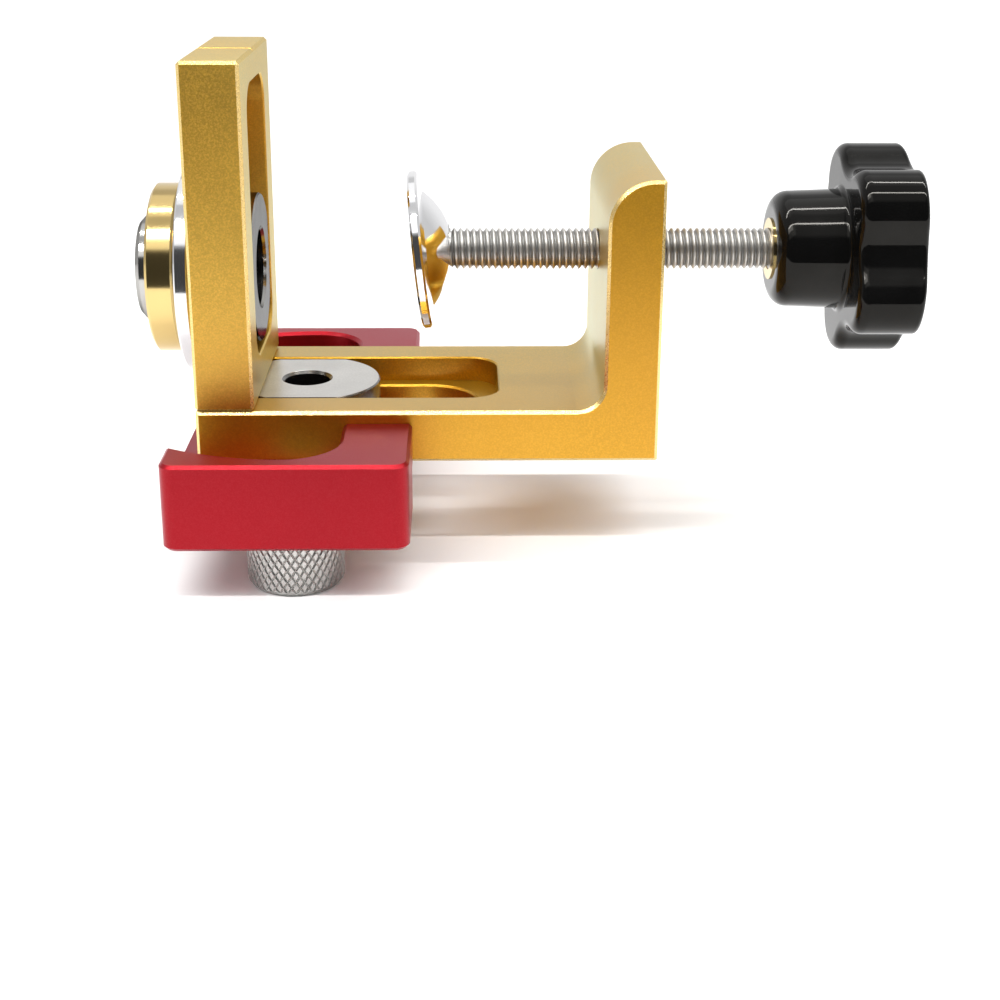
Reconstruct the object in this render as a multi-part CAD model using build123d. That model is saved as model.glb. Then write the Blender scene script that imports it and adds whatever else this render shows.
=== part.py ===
from build123d import *
from math import cos, radians, sin, sqrt
import os

# Self centering doweling jig, in millimetres, +Z up.
# X runs along the clamp screw, from the fence (low) to the knob (high). Y runs along the board's edge.
# The origin lies on the edge bush's drill axis, on the seat that its flange rests on.

# --- driving dimensions: bracket and fence -------------------------------------------------
arm_width = 44.0            # bracket, fence and channel share this width
arm_length = 86.9           # from the arm's free end to the upstand's outer face
arm_thick = 10.0
upstand_thick = 10.4
upstand_height = 43.6       # above the arm's top face
upstand_round = 8.5         # large round on the upstand's inner top corner
corner_fillet = 5.0         # inside corner between arm and upstand
fence_thick = 11.0
fence_height = 64.5
edge_chamfer = 0.6
end_chamfer = 0.3           # on the bracket's two ends, across its width
mouth_chamfer = 0.3         # broken edge round every slot and hole
witness_width = 1.0         # centre-line groove across the fence's top
witness_depth = 0.5

# --- driving dimensions: stepped slots -----------------------------------------------------
seat_depth = 5.0            # from a slot's face down to the ledge that a flange rests on
slot_corner = 6.0           # corner radius of the wide part of a slot
slot_ledge = 4.1            # width of the ledge at a slot's two ends
ledge_chamfer = 0.4         # on the ledge's inner edge
arm_slot_length = 55.6
arm_slot_wall = 1.5         # metal left between the arm's free end and its slot
fence_slot_length = 51.6
fence_slot_height = 7.3     # from the arm's top face to the slot's lower end
flat_clearance = 0.85       # each side, flange flats in the wide slot
tube_clearance = 0.15       # each side, bush tube in the narrow slot

# --- driving dimensions: guide bushes and ring nuts ----------------------------------------
half_board = 8.0            # edge bush axis to the fence's inner face, at rest
face_bush_height = 22.5     # face bush axis above the arm's top face, at rest
flange_dia = 29.0
flange_flats = 25.0
flange_sink = 0.2           # flange face below the face of the slot
tube_dia = 20.0
edge_bore = 9.0
face_bore = 15.0
bore_chamfer = 0.6
tube_chamfer = 0.8
edge_tube_proud = 0.5       # tube beyond the ring nut
face_tube_proud = 3.0
nut_dia = 32.8
nut_thick = 6.0
nut_chamfer = 1.2           # on the nut's seat side
nut_rim_break = 0.5         # on the nut's outer side
nut_notch_width = 5.2
nut_notch_depth = 2.3
nut_pin_hole = 3.0          # spanner holes in the face nut
nut_pin_circle = 26.4
nut_pin_depth = 3.0
washer_dia = 40.0
washer_thick = 3.0
washer_chamfer = 0.7
running_clearance = 0.05    # radial, for every round fit

# --- driving dimensions: carrier and side bushes -------------------------------------------
carrier_length = 89.0
carrier_back_reach = 22.4   # from the edge bush axis towards the fence
carrier_front_reach = 21.5  # and towards the clamp screw
carrier_floor = 8.5         # thickness of the plate under the arm
carrier_corner = 2.8
ear_drop = 2.3              # ear tops below the arm's top face
channel_clearance = 0.1     # each side, arm in its channel
scoop_radius = 40.6         # chip clearance cut into both ears, about the edge bush axis
scoop_reach = 8.6           # from the edge bush axis to the scoop's straight side
scoop_corner = 10.0
scoop_chamfer = 0.7         # along the scoop's upper edge
notch_width = 50.0          # step in the plate's front edge
notch_depth = 8.0
notch_corner = 1.5
bump_radius = 20.5          # round nose of the plate, about the edge bush axis
side_spacing = 32.0         # side bush axis to edge bush axis
side_head_dia = 18.0
side_head_length = 10.7
side_shank_dia = 14.0
side_head_chamfer = 0.8

# --- driving dimensions: clamp screw, foot and knob ----------------------------------------
clamp_height = 26.2         # screw axis above the arm's top face
thread_dia = 8.0
thread_pitch = 1.25
thread_depth = 0.6
ball_from_fence = 33.3      # ball centre to the fence's inner face, at rest
ball_dia = 3.6
ball_neck_dia = 2.6
ball_clearance = 0.08
thrust_gap = 2.95           # ball centre to the thrust ring
thrust_thick = 0.5
thrust_play = 0.05
foot_dia = 30.7
foot_rim_thick = 1.9
foot_rim_swell = 0.6        # gained by the rim's back from its edge to the dome
foot_dome_dia = 22.8        # where the dome leaves the rim
foot_shoulder_dia = 16.0    # the dome's middle, which is fuller than a cone
foot_shoulder_rise = 3.5    # above the rim's outer edge
foot_neck_dia = 9.8
foot_depth = 6.9
foot_well_dia = 8.9         # well in the foot's back that the thread runs into
foot_well_depth = 1.1
foot_ball_depth = 3.4       # ball centre behind the foot's face
foot_dish_dia = 21.0
foot_dish_depth = 0.3
foot_edge_break = 0.4
foot_lean = 5.9             # degrees, the foot's top leans to the fence at rest
socket_mouth = 1.1          # ball centre to the narrowest part of the socket
hub_gap = 23.4              # upstand's outer face to the knob's hub, at rest
hub_dia = 23.4
hub_taper = 0.5             # radius lost towards the hub's face
hub_length = 13.5
hub_round = 3.2
hub_root_round = 1.0        # where the hub meets the head
head_thick = 12.4           # to the lobes' tips; the outer face is domed
head_dome_rise = 2.0        # from the lobes' tips to the middle
head_lobes = 5
lobe_radius = 7.65
lobe_circle = 13.5          # lobe centres about the knob's axis
lobe_turn = 45.0            # degrees from the -Y side up to the first lobe
valley_radius = 9.0
head_round = 1.1            # on the outer face's rim
head_back_round = 2.2
cap_dia = 19.5
cap_rise = 1.2
cap_sink = 0.8
cap_flat_dia = 12.0
cap_round = 12.0
insert_dia = 12.0
insert_proud = 0.3
insert_length = 20.0
insert_hole_depth = 19.0
screw_in_knob = 17.0

# --- driving dimensions: fence screws ------------------------------------------------------
fence_screw_dia = 4.0
fence_screw_head = 7.6
fence_screw_length = 19.0
fence_screw_tip_gap = 0.6

# --- places that follow from the dimensions ------------------------------------------------
arm_top = seat_depth
arm_bottom = arm_top - arm_thick
fence_inner = -half_board
arm_left = fence_inner - fence_thick
arm_right = arm_left + arm_length
upstand_inner = arm_right - upstand_thick
upstand_top = arm_top + upstand_height
ear_top = arm_top - ear_drop
scoop_floor = arm_bottom    # the scoop goes down to the channel's floor
carrier_bottom = arm_bottom - carrier_floor
nut_bottom = carrier_bottom - nut_thick
face_axis = arm_top + face_bush_height
washer_left = arm_left - washer_thick
nut_left = washer_left - nut_thick
clamp_axis = arm_top + clamp_height
ball_x = fence_inner + ball_from_fence
thrust_left = ball_x + thrust_gap
shoulder_x = thrust_left + thrust_thick + thrust_play
hub_face = arm_right + hub_gap
head_back = hub_face + hub_length
head_front = head_back + head_thick
head_radius = lobe_circle + lobe_radius
dome_radius = (head_radius ** 2 + head_dome_rise ** 2) / (2 * head_dome_rise)
cap_seat = head_dome_rise - (cap_dia / 2) ** 2 / (2 * dome_radius)
screw_end = hub_face + screw_in_knob
wide_slot = flange_flats + 2 * flat_clearance
narrow_slot = tube_dia + 2 * tube_clearance
land_middle = (arm_width / 2 + wide_slot / 2) / 2
fence_screw_x = arm_left + fence_thick / 2
BIG = 200.0                 # longer than anything that it cuts
SOCKET_FLARE = 0.22         # radius gained per millimetre by the foot's socket mouth


def block(x0, x1, y0, y1, z0, z1):
    """A box between two corners."""
    box = Box(x1 - x0, y1 - y0, z1 - z0, align=(Align.MIN, Align.MIN, Align.MIN))
    return Pos(x0, y0, z0) * box


def rod_x(radius, x0, x1, z, y=0.0):
    """A round bar along X."""
    bar = Cylinder(radius, x1 - x0, align=(Align.CENTER, Align.CENTER, Align.MIN))
    return Pos(x0, y, z) * Rot(0, 90, 0) * bar


def rod_z(radius, z0, z1, x=0.0, y=0.0):
    """A round bar along Z."""
    return Pos(x, y, z0) * Cylinder(radius, z1 - z0, align=(Align.CENTER, Align.CENTER, Align.MIN))


def cone_z(radius_low, radius_high, z0, z1, x=0.0, y=0.0):
    """A cone frustum along Z."""
    frustum = Cone(radius_low, radius_high, z1 - z0, align=(Align.CENTER, Align.CENTER, Align.MIN))
    return Pos(x, y, z0) * frustum


def turned(points):
    """A turned piece about the Z axis, from (radius, height) points."""
    outline = Polyline(*[(r, 0, h) for r, h in points], close=True)
    return revolve(make_face(outline), axis=Axis.Z)


def stepped_slot(length):
    """A stepped slot as a cutter: long in X, its face at z = seat_depth, its ledge at z = 0."""
    wide = extrude(RectangleRounded(length, wide_slot, slot_corner), seat_depth + 1)
    narrow_length = length - 2 * slot_ledge
    narrow = Pos(0, 0, -BIG / 2) * extrude(SlotOverall(narrow_length, narrow_slot), BIG / 2 + 1)
    flare = RectangleRounded(
        length + 2 * mouth_chamfer, wide_slot + 2 * mouth_chamfer, slot_corner + mouth_chamfer
    )
    mouth = extrude(Pos(0, 0, seat_depth) * flare, -2 * mouth_chamfer, taper=45)
    brink = SlotOverall(narrow_length + 2 * ledge_chamfer, narrow_slot + 2 * ledge_chamfer)
    return wide + narrow + mouth + extrude(brink, -2 * ledge_chamfer, taper=45)


def fence_screw_holes():
    """The clearance for the two fence screws, through the arm and into the fence."""
    holes = []
    for side in (-1, 1):
        y = side * land_middle
        tip = arm_bottom + fence_screw_length + fence_screw_tip_gap
        shank = fence_screw_dia / 2 + running_clearance
        head = fence_screw_head / 2 + running_clearance
        holes.append(rod_z(shank, arm_bottom - 1, tip, fence_screw_x, y))
        holes.append(cone_z(head, shank, arm_bottom, arm_bottom + head - shank, fence_screw_x, y))
    return holes


def bracket():
    """The one-piece arm and upstand, with the arm's stepped slot and the clamp screw's thread hole."""
    half = arm_width / 2
    body = block(arm_left, arm_right, -half, half, arm_bottom, arm_top)
    body += block(upstand_inner, arm_right, -half, half, arm_bottom, upstand_top)
    across = body.edges().filter_by(Axis.Y)
    inside = [e for e in across if abs(e.center().X - upstand_inner) < 0.01
              and abs(e.center().Z - arm_top) < 0.01]
    body = fillet(inside, corner_fillet)
    across = body.edges().filter_by(Axis.Y)
    crest = [e for e in across if abs(e.center().X - upstand_inner) < 0.01
             and abs(e.center().Z - upstand_top) < 0.01]
    body = fillet(crest, upstand_round)
    rims = body.faces().sort_by(Axis.Y)[0].edges() + body.faces().sort_by(Axis.Y)[-1].edges()
    body = chamfer(rims, edge_chamfer)
    corners = [e for e in body.edges().filter_by(Axis.Y)
               if abs(e.center().X - arm_left) < 0.01 or abs(e.center().X - arm_right) < 0.01]
    body = chamfer(corners, end_chamfer)
    slot_middle = arm_left + arm_slot_wall + arm_slot_length / 2
    body -= Pos(slot_middle, 0, 0) * stepped_slot(arm_slot_length)
    hole = thread_dia / 2 + running_clearance
    body -= rod_x(hole, upstand_inner - 1, arm_right + 1, clamp_axis)
    for cut in fence_screw_holes():
        body -= cut
    return body


def fence_plate():
    """The upright fence that the board is clamped against, with its own stepped slot."""
    half = arm_width / 2
    top = arm_top + fence_height
    body = block(arm_left, fence_inner, -half, half, arm_top, top)
    body = chamfer(body.edges(), edge_chamfer)
    slot_middle = arm_top + fence_slot_height + fence_slot_length / 2
    place = Pos(fence_inner - seat_depth, 0, slot_middle) * Rot(0, 90, 0)
    body -= place * stepped_slot(fence_slot_length)
    groove = Polyline(
        (arm_left - 1, -witness_width / 2, top), (arm_left - 1, witness_width / 2, top),
        (arm_left - 1, 0, top - witness_depth), close=True
    )
    body -= extrude(make_face(groove), fence_thick + 2, dir=(1, 0, 0))
    for cut in fence_screw_holes():
        body -= cut
    return body


def fence_screws():
    """Two countersunk screws that hold the fence on the arm."""
    slot = fence_screw_head * 0.62
    screws = []
    for side in (-1, 1):
        y = side * land_middle
        shank = fence_screw_dia / 2
        head = fence_screw_head / 2
        screw = rod_z(shank, arm_bottom, arm_bottom + fence_screw_length, fence_screw_x, y)
        screw += cone_z(head, shank, arm_bottom, arm_bottom + head - shank, fence_screw_x, y)
        screw -= Pos(fence_screw_x, y, arm_bottom) * Box(slot, 0.9, 1.6)
        screw -= Pos(fence_screw_x, y, arm_bottom) * Box(0.9, slot, 1.6)
        screws.append(screw)
    return Compound(screws)


def flanged_bush(bore, tube_length):
    """A flanged guide bush: flange above z = 0, tube below it."""
    face = seat_depth - flange_sink
    tube = tube_dia / 2
    flange = flange_dia / 2
    inner = bore / 2
    body = turned([
        (inner, -tube_length + bore_chamfer), (inner + bore_chamfer, -tube_length),
        (tube - tube_chamfer, -tube_length), (tube, -tube_length + tube_chamfer), (tube, 0),
        (flange, 0), (flange, face - mouth_chamfer), (flange - mouth_chamfer, face),
        (inner + bore_chamfer, face), (inner, face - bore_chamfer)
    ])
    for side in (-1, 1):
        y0, y1 = sorted((side * flange_flats / 2, side * flange_dia))
        body -= block(-flange_dia, flange_dia, y0, y1, 0, face + 1)
    return body


def ring_nut():
    """A ring nut standing on z = 0, its seat side down."""
    hole = tube_dia / 2 + running_clearance
    rim = nut_dia / 2
    return turned([
        (hole, 0), (rim - nut_chamfer, 0), (rim, nut_chamfer), (rim, nut_thick - nut_rim_break),
        (rim - nut_rim_break, nut_thick), (hole + nut_rim_break, nut_thick),
        (hole, nut_thick - nut_rim_break)
    ])


def edge_bush():
    """The guide bush for holes in a board's edge."""
    return flanged_bush(edge_bore, -nut_bottom + edge_tube_proud)


def edge_ring_nut():
    """The notched nut that clamps the edge bush and the carrier on the arm."""
    nut = ring_nut()
    reach = nut_dia / 2 - nut_notch_depth
    for side in (-1, 1):
        y0, y1 = sorted((side * reach, side * nut_dia))
        nut -= block(-nut_notch_width / 2, nut_notch_width / 2, y0, y1, -1, nut_thick + 1)
    return Pos(0, 0, carrier_bottom) * Rot(180, 0, 0) * nut


def face_bush():
    """The wide guide bush for holes in a board's face."""
    tube_length = (fence_inner - seat_depth) - nut_left + face_tube_proud
    return Pos(fence_inner - seat_depth, 0, face_axis) * Rot(0, 90, 0) * flanged_bush(face_bore, tube_length)


def face_washer():
    """The broad washer between the fence and the face nut."""
    hole = tube_dia / 2 + running_clearance
    rim = washer_dia / 2
    ring = turned([
        (hole, 0), (rim - washer_chamfer, 0), (rim, washer_chamfer), (rim, washer_thick - mouth_chamfer),
        (rim - mouth_chamfer, washer_thick), (hole, washer_thick)
    ])
    return Pos(arm_left, 0, face_axis) * Rot(0, -90, 0) * ring


def face_ring_nut():
    """The nut that clamps the face bush on the fence, turned by two spanner holes."""
    nut = ring_nut()
    for side in (-1, 1):
        nut -= rod_z(nut_pin_hole / 2, nut_thick - nut_pin_depth, nut_thick + 1,
                     0, side * nut_pin_circle / 2)
    return Pos(washer_left, 0, face_axis) * Rot(0, -90, 0) * nut


def scoop():
    """The chip clearance cutter for one ear: a disc about the bush axis with one straight side."""
    outline = Circle(scoop_radius) & Pos(scoop_reach, 0) * Rectangle(BIG, BIG, align=(Align.MAX, Align.MAX))
    corner = [v for v in outline.vertices() if v.X > scoop_reach - 0.01 and v.Y < -1]
    outline = fillet(corner, scoop_corner)
    flare = Pos(0, 0, ear_top) * offset(outline, scoop_chamfer)
    pocket = Pos(0, 0, scoop_floor) * extrude(outline, ear_top - scoop_floor + 1)
    return pocket + extrude(flare, -2 * scoop_chamfer, taper=45)


def carrier():
    """The block that rides on the arm and holds the edge bush and both side bushes."""
    half_y = carrier_length / 2
    body = block(-carrier_back_reach, carrier_front_reach, -half_y, half_y, carrier_bottom, ear_top)
    body = fillet(body.edges().filter_by(Axis.Z), carrier_corner)
    body = chamfer(body.faces().sort_by(Axis.Z)[0].edges() + body.faces().sort_by(Axis.Z)[-1].edges(),
                   edge_chamfer)
    channel = arm_width / 2 + channel_clearance
    body -= block(-BIG, BIG, -channel, channel, arm_bottom, BIG)
    cut = scoop()
    body -= cut
    body -= mirror(cut, about=Plane.XZ)
    step = carrier_front_reach - notch_depth
    notch = block(step, BIG, -notch_width / 2, notch_width / 2, carrier_bottom - 1, arm_bottom)
    notch = fillet([e for e in notch.edges().filter_by(Axis.Z) if e.center().X < step + 0.01],
                   notch_corner)
    notch -= rod_z(bump_radius, carrier_bottom - 2, arm_bottom + 1)
    body -= notch
    body -= rod_z(tube_dia / 2 + running_clearance, carrier_bottom - 1, arm_bottom + 1)
    for side in (-1, 1):
        hole = side_shank_dia / 2 + running_clearance
        body -= rod_z(hole, carrier_bottom - 1, ear_top + 1, 0, side * side_spacing)
    return body


def side_bush(side):
    """A removable guide bush with a finger grip below the carrier."""
    bore = edge_bore / 2
    head = side_head_dia / 2
    shank = side_shank_dia / 2
    low = carrier_bottom - side_head_length
    body = turned([
        (bore, low + bore_chamfer), (bore + bore_chamfer, low), (head - side_head_chamfer, low),
        (head, low + side_head_chamfer), (head, carrier_bottom - mouth_chamfer),
        (head - mouth_chamfer, carrier_bottom), (shank, carrier_bottom),
        (shank, scoop_floor - mouth_chamfer), (shank - mouth_chamfer, scoop_floor),
        (bore + mouth_chamfer, scoop_floor), (bore, scoop_floor - mouth_chamfer)
    ])
    return Pos(0, side * side_spacing, 0) * body


def clamp_screw():
    """The clamp screw, with its ball end. Rings stand for the thread's turns."""
    crest = thread_dia / 2
    root = crest - thread_depth
    neck = ball_neck_dia / 2
    length = screw_end - shoulder_x
    turns = int((length - 2 * thread_depth) // thread_pitch)
    start = thread_depth + (length - 2 * thread_depth - turns * thread_pitch) / 2
    points = [(0, 0), (neck, 0), (neck, shoulder_x - ball_x), (root, shoulder_x - ball_x)]
    base = shoulder_x - ball_x + start
    for turn in range(turns):
        points.append((root, base + turn * thread_pitch))
        points.append((root, base + (turn + 0.2) * thread_pitch))
        points.append((crest, base + (turn + 0.5) * thread_pitch))
        points.append((crest, base + (turn + 0.7) * thread_pitch))
    end = screw_end - ball_x
    points += [(root, base + turns * thread_pitch), (root, end), (0, end)]
    body = turned(points) + Sphere(ball_dia / 2)
    return Pos(ball_x, 0, clamp_axis) * Rot(0, 90, 0) * body


def thrust_ring():
    """The ring on the screw's neck that pulls the foot back."""
    hole = ball_neck_dia / 2 + running_clearance
    ring = rod_x(thread_dia / 2, thrust_left, thrust_left + thrust_thick, clamp_axis)
    return ring - rod_x(hole, thrust_left - 1, thrust_left + thrust_thick + 1, clamp_axis)


def swivel_foot():
    """The swivelling foot: a thin rim, a full dome, a socket for the ball and a well for the thread."""
    rim = foot_dia / 2
    neck = foot_neck_dia / 2
    socket = ball_dia / 2 + ball_clearance
    back = foot_depth - foot_ball_depth
    front = -foot_ball_depth
    rim_back = front + foot_rim_thick
    well = back - foot_well_depth
    throat = sqrt(socket ** 2 - socket_mouth ** 2)
    mouth = throat + (well - socket_mouth) * SOCKET_FLARE
    dome = (foot_dome_dia / 2, 0, rim_back + foot_rim_swell)
    shoulder = (foot_shoulder_dia / 2, 0, rim_back + foot_shoulder_rise)
    crown = (neck, 0, back)
    outline = Polyline(
        crown, (0, 0, back), (0, 0, front + foot_dish_depth), (foot_dish_dia / 2, 0, front + foot_dish_depth),
        (foot_dish_dia / 2 + foot_dish_depth, 0, front), (rim - foot_edge_break, 0, front),
        (rim, 0, front + foot_edge_break), (rim, 0, rim_back - foot_edge_break),
        (rim - foot_edge_break, 0, rim_back), dome
    )
    outline += ThreePointArc(dome, shoulder, crown)
    body = revolve(make_face(outline), axis=Axis.Z)
    body -= Sphere(socket)
    body -= cone_z(throat, mouth, socket_mouth, well)
    body -= rod_z(foot_well_dia / 2, well, back + 1)
    return Pos(ball_x, 0, clamp_axis) * Rot(0, 90 - foot_lean, 0) * body


def star_outline():
    """The knob's outline: round lobes with wide hollows between, each running smoothly into the next."""
    step = 360 / head_lobes
    reach = lobe_radius + valley_radius
    lobe = Vector(lobe_circle, 0)
    across = lobe_circle * sin(radians(step / 2))
    hollow_circle = lobe_circle * cos(radians(step / 2)) + sqrt(reach ** 2 - across ** 2)
    hollow = Vector(hollow_circle, 0).rotate(Axis.Z, step / 2)
    leave = lobe + (hollow - lobe) * (lobe_radius / reach)
    enter = Vector(leave.X, -leave.Y)
    tip = Vector(lobe_circle + lobe_radius, 0)
    bottom = Vector(hollow_circle - valley_radius, 0).rotate(Axis.Z, step / 2)
    arcs = []
    for number in range(head_lobes):
        turn = number * step
        arcs.append(ThreePointArc(*[point.rotate(Axis.Z, turn) for point in (enter, tip, leave)]))
        following = enter.rotate(Axis.Z, turn + step)
        arcs.append(ThreePointArc(leave.rotate(Axis.Z, turn), bottom.rotate(Axis.Z, turn), following))
    return make_face(arcs)


def domed_stock():
    """A round bar with a domed end, from which the star is cut."""
    bar = rod_z(head_radius + 1, -1, head_thick + head_dome_rise)
    return bar & Pos(0, 0, head_thick + head_dome_rise - dome_radius) * Sphere(dome_radius)


def knob():
    """The star knob: a lobed head with a domed face, on a round hub, hollow for its insert and cap."""
    head = extrude(star_outline(), head_thick + head_dome_rise) & domed_stock()
    head = fillet(head.edges().filter_by(GeomType.BSPLINE), head_round)
    head = fillet(head.faces().sort_by(Axis.Z)[0].edges(), head_back_round)
    head -= rod_z(cap_dia / 2 + running_clearance, head_thick + cap_seat - cap_sink, BIG)
    hub = cone_z(hub_dia / 2 - hub_taper, hub_dia / 2, -hub_length, 0)
    hub = fillet(hub.faces().sort_by(Axis.Z)[0].edges(), hub_round)
    body = head + hub
    root = [e for e in body.edges().filter_by(GeomType.CIRCLE)
            if abs(e.center().Z) < 0.01 and abs(e.radius - hub_dia / 2) < 0.01]
    body = fillet(root, hub_root_round)
    body -= rod_z(insert_dia / 2, -BIG, -hub_length + insert_length)
    return Pos(head_back, 0, clamp_axis) * Rot(0, 90, 0) * Rot(0, 0, -90 - lobe_turn) * body


def knob_insert():
    """The brass insert that the knob is moulded round."""
    sleeve = rod_x(insert_dia / 2, hub_face - insert_proud, hub_face + insert_length, clamp_axis)
    hole = thread_dia / 2 + running_clearance
    return sleeve - rod_x(hole, hub_face - insert_proud - 1, hub_face + insert_hole_depth, clamp_axis)


def knob_cap():
    """The pressed-in cap on the knob's outer face, with a soft round to a flat middle."""
    base = head_front + cap_seat - cap_sink
    disc = rod_x(cap_dia / 2, base, base + cap_sink + 0.2, clamp_axis)
    dome = cone_z(cap_dia / 2, cap_flat_dia / 2, 0, cap_rise - 0.2)
    dome = fillet(dome.faces().sort_by(Axis.Z)[-1].edges(), cap_round)
    return disc + Pos(base + cap_sink + 0.2, 0, clamp_axis) * Rot(0, 90, 0) * dome


pieces = {
    "bracket": bracket(),
    "fence_plate": fence_plate(),
    "fence_screws": fence_screws(),
    "carrier": carrier(),
    "edge_bush": edge_bush(),
    "edge_ring_nut": edge_ring_nut(),
    "side_bush_front": side_bush(-1),
    "side_bush_back": side_bush(1),
    "face_bush": face_bush(),
    "face_washer": face_washer(),
    "face_ring_nut": face_ring_nut(),
    "clamp_screw": clamp_screw(),
    "thrust_ring": thrust_ring(),
    "swivel_foot": swivel_foot(),
    "knob": knob(),
    "knob_insert": knob_insert(),
    "knob_cap": knob_cap(),
}

os.makedirs("parts", exist_ok=True)
for name, piece in pieces.items():
    export_step(piece, os.path.join("parts", name + ".step"))
    print(name, "solids", len(piece.solids()), "volume", round(piece.volume, 1))
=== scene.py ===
"""A self centering doweling jig: its finishes, its detailed pieces and a plain studio."""

import math

import bpy
from mathutils import Matrix, Vector


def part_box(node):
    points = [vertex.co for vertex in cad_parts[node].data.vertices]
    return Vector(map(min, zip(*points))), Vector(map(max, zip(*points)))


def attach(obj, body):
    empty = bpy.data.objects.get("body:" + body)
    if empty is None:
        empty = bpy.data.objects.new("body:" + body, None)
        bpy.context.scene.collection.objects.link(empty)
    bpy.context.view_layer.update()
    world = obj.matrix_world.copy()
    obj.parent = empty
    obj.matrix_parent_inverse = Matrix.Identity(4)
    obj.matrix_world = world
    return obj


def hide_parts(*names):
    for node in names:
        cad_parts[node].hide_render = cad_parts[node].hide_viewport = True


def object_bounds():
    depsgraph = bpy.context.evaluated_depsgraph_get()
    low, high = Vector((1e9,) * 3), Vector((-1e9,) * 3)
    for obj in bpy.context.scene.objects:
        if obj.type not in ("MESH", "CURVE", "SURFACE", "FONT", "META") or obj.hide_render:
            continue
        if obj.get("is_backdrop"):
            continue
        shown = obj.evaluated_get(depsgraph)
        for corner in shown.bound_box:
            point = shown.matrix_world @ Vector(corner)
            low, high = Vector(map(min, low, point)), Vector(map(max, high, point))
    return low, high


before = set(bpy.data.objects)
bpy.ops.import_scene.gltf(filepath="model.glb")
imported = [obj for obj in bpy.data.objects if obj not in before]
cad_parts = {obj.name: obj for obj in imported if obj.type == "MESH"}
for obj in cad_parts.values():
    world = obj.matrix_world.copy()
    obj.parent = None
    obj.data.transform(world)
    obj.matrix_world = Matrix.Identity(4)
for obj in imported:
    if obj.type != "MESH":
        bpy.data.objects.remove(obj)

bl_info = {
    "name": "Doweling Jig",
    "version": (1, 0, 0),
    "blender": (4, 5, 0),
    "location": "3D View > Sidebar > Jig",
    "description": "Details, finishes and a studio for a self centering doweling jig",
    "category": "Object",
}

MM = 0.001
CLAMP_AXIS = 31.2 * MM        # height of the clamp screw's axis
ARM_BOTTOM = -5.0 * MM
CARRIER_BOTTOM = -13.5 * MM
EDGE_BORE = 9.0 * MM          # the side bushes have the same bore
FACE_BORE = 15.0 * MM
GRIP_RADIUS = 9.0 * MM        # the side bushes' knurled grip
BALL_RADIUS = 1.8 * MM        # at the clamp screw's end
RIM = 0.6 * MM                # width of the chamfers along the gold parts
RIM_MARGIN = 0.02 * MM        # kept off a chamfer's two edges by its finish
MARGIN = 0.05 * MM            # by which surfaces that meet are told apart
NEAR = 0.01 * MM              # heights closer than this count as one
WELD = 0.001 * MM             # points closer than this are merged


# --- sizes and colours that a user would change ---------------------------------------------

class JigStudioSettings(bpy.types.PropertyGroup):
    """Camera, floor and lamps."""

    lens: bpy.props.FloatProperty(
        name="Lens", description="Focal length of the camera", default=57.24, min=10.0,
        unit="CAMERA")
    camera_place: bpy.props.FloatVectorProperty(
        name="Camera", description="Where the camera stands", default=(0.03033, -0.30413, 0.10107),
        subtype="TRANSLATION", unit="LENGTH")
    pitch: bpy.props.FloatProperty(
        name="Pitch", description="How far the camera looks down", default=math.radians(18.38),
        subtype="ANGLE", unit="ROTATION")
    yaw: bpy.props.FloatProperty(
        name="Yaw", description="How far the camera turns to the right", default=math.radians(1.55),
        subtype="ANGLE", unit="ROTATION")
    roll: bpy.props.FloatProperty(
        name="Roll", description="How far the camera leans", default=math.radians(0.35),
        subtype="ANGLE", unit="ROTATION")
    shift: bpy.props.FloatProperty(
        name="Shift", description="Vertical shift of the camera's frame", default=-0.1)
    floor_colour: bpy.props.FloatVectorProperty(
        name="Floor", description="Colour of the floor", default=(0.93, 0.93, 0.93),
        subtype="COLOR")
    lift_near: bpy.props.FloatProperty(
        name="Near lift", description="Light that the paper itself gives off close to the jig",
        default=0.05, min=0.0)
    lift_far: bpy.props.FloatProperty(
        name="Far lift", description="Light that it gives off far behind and beside the jig",
        default=0.5, min=0.0)
    paper_near: bpy.props.FloatProperty(
        name="Paper's near edge", description="Where the paper ends in front", default=-0.21,
        subtype="DISTANCE", unit="LENGTH")
    paper_far: bpy.props.FloatProperty(
        name="Paper's far edge", description="Where the paper ends behind", default=3.0,
        subtype="DISTANCE", unit="LENGTH")
    room: bpy.props.FloatProperty(
        name="Room", description="Brightness of the room", default=0.7, min=0.0)
    backdrop: bpy.props.FloatProperty(
        name="Backdrop", description="How much brighter the room is low down behind the jig",
        default=0.43, min=0.0)
    dark_to: bpy.props.FloatProperty(
        name="Dark up to", description="Height of the dark part, as the sine of its elevation",
        default=0.58, min=0.0, max=1.0)
    overhead: bpy.props.FloatProperty(
        name="Overhead", description="Power of the softbox above", default=1.0, min=0.0,
        unit="POWER")
    front: bpy.props.FloatProperty(
        name="Front", description="Power of the softbox in front", default=0.87, min=0.0,
        unit="POWER")
    strips: bpy.props.FloatProperty(
        name="Strips", description="Power of each strip lamp", default=3.0, min=0.0, unit="POWER")
    side_box: bpy.props.FloatProperty(
        name="Side box", description="Power of the broad lamp on the left", default=0.6, min=0.0,
        unit="POWER")
    strip_high: bpy.props.FloatProperty(
        name="High strip", description="Elevation of the high strip lamp",
        default=math.radians(95.3), subtype="ANGLE", unit="ROTATION")
    strip_low: bpy.props.FloatProperty(
        name="Low strip", description="Elevation of the low strip lamp",
        default=math.radians(61.3), subtype="ANGLE", unit="ROTATION")


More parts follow.
